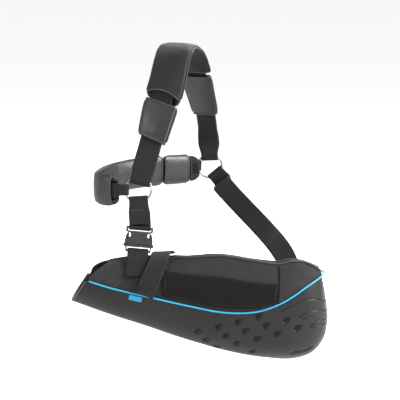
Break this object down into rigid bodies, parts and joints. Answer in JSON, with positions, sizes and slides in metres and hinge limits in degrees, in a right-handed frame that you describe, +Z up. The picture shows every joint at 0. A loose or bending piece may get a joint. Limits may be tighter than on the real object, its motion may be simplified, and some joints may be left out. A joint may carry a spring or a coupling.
{
  "type": "arm sling",
  "caption": "Arm sling with a moulded forearm trough, padded shoulder and underarm straps, ring links, a side-release buckle and a wrist closure strap.",
  "frame": {"origin": "underside of the shoulder pad at its highest point, where it rests on the wearer's shoulder", "axes": "+Z up, +X from the hand end to the elbow end of the trough, +Y from the wearer's front to the back"},
  "size_m": [0.4289, 0.3201, 0.5173],
  "materials": {
    "webbing": "woven, matt",
    "pad_fabric": "knitted cover, matt",
    "pad_smooth": "coated cover, soft sheen",
    "shell_foam": "moulded foam with a smooth laminated face",
    "mesh": "spacer mesh",
    "hook_loop": "brushed loop pile",
    "piping_blue": "satin piping",
    "label_blue": "smooth woven tape",
    "binding": "bias tape",
    "buckle_plastic": "moulded, satin",
    "ring_metal": "dark nickel"
  },
  "bodies": {
    "harness": {"shoulder_webbing": "webbing", "shoulder_pad": "pad_fabric", "ring_front": "ring_metal", "ring_rear": "ring_metal", "underarm_webbing": "webbing", "underarm_pad": "pad_smooth", "front_strap": "webbing", "buckle_female": "buckle_plastic", "rear_strap": "webbing"},
    "front_sleeve": {"front_pad_sleeve": "pad_smooth"},
    "rear_sleeve": {"rear_pad_sleeve": "pad_smooth"},
    "underarm_sleeve": {"underarm_pad_sleeve": "pad_smooth"},
    "front_tab": {"front_strap_tab": "hook_loop"},
    "rear_tail": {"rear_strap_tail": "webbing"},
    "trough": {"shell_near": "shell_foam", "shell_far": "shell_foam", "mesh_panel_near": "mesh", "mesh_panel_far": "mesh", "liner": "mesh", "piping": "piping_blue", "hem_near": "binding", "hem_far": "binding", "hand_end_binding": "binding", "loop_strip": "hook_loop", "anchor_strap": "webbing", "closure_anchor": "webbing", "label_tab": "label_blue", "buckle_male_base": "buckle_plastic"},
    "closure": {"closure_strap": "webbing"},
    "prong_left": {"buckle_prong_left": "buckle_plastic"},
    "prong_right": {"buckle_prong_right": "buckle_plastic"}
  },
  "joints": [
    {"name": "trough_drop", "type": "hinge", "parent": "harness", "child": "trough", "pos_m": [0.188, -0.101, -0.332], "axis": [0, -1, 0], "range_deg": [0, 18], "deforming": ["buckle_prong_left", "buckle_prong_right"]},
    {"name": "closure_peel", "type": "hinge", "parent": "trough", "child": "closure", "pos_m": [-0.018, -0.128, -0.331], "axis": [-0.8545, 0.382, 0.3519], "range_deg": [0, 100]},
    {"name": "front_sleeve_slide", "type": "slide", "parent": "harness", "child": "front_sleeve", "axis": [0.2428, 0.3516, 0.9041], "range_m": [-0.008, 0.0015]},
    {"name": "rear_sleeve_slide", "type": "slide", "parent": "harness", "child": "rear_sleeve", "axis": [0.2048, 0.2437, -0.948], "range_m": [-0.005, 0.008]},
    {"name": "underarm_sleeve_slide", "type": "slide", "parent": "harness", "child": "underarm_sleeve", "axis": [0.8443, 0.5352, -0.026], "range_m": [-0.003, 0.0015]},
    {"name": "front_tab_peel", "type": "hinge", "parent": "harness", "child": "front_tab", "pos_m": [-0.06123, -0.1629, -0.27562], "axis": [1, 0, 0], "range_deg": [0, 40]},
    {"name": "rear_tail_peel", "type": "hinge", "parent": "harness", "child": "rear_tail", "pos_m": [0.08079, 0.0703, -0.24803], "axis": [0.8091, -0.025, 0.5871], "range_deg": [0, 60]},
    {"name": "prong_left_squeeze", "type": "hinge", "parent": "trough", "child": "prong_left", "pos_m": [-0.081, -0.159, -0.3062], "axis": [0, 1, 0], "range_deg": [0, 8], "stiffness_Nm_per_rad": 0.15},
    {"name": "prong_right_squeeze", "type": "hinge", "parent": "trough", "child": "prong_right", "pos_m": [-0.04713, -0.159, -0.30919], "axis": [0, 1, 0], "range_deg": [-8, 0], "stiffness_Nm_per_rad": 0.15}
  ],
  "couplings": [
    {"joint": "prong_right_squeeze", "follows": "prong_left_squeeze", "ratio": -1}
  ]
}
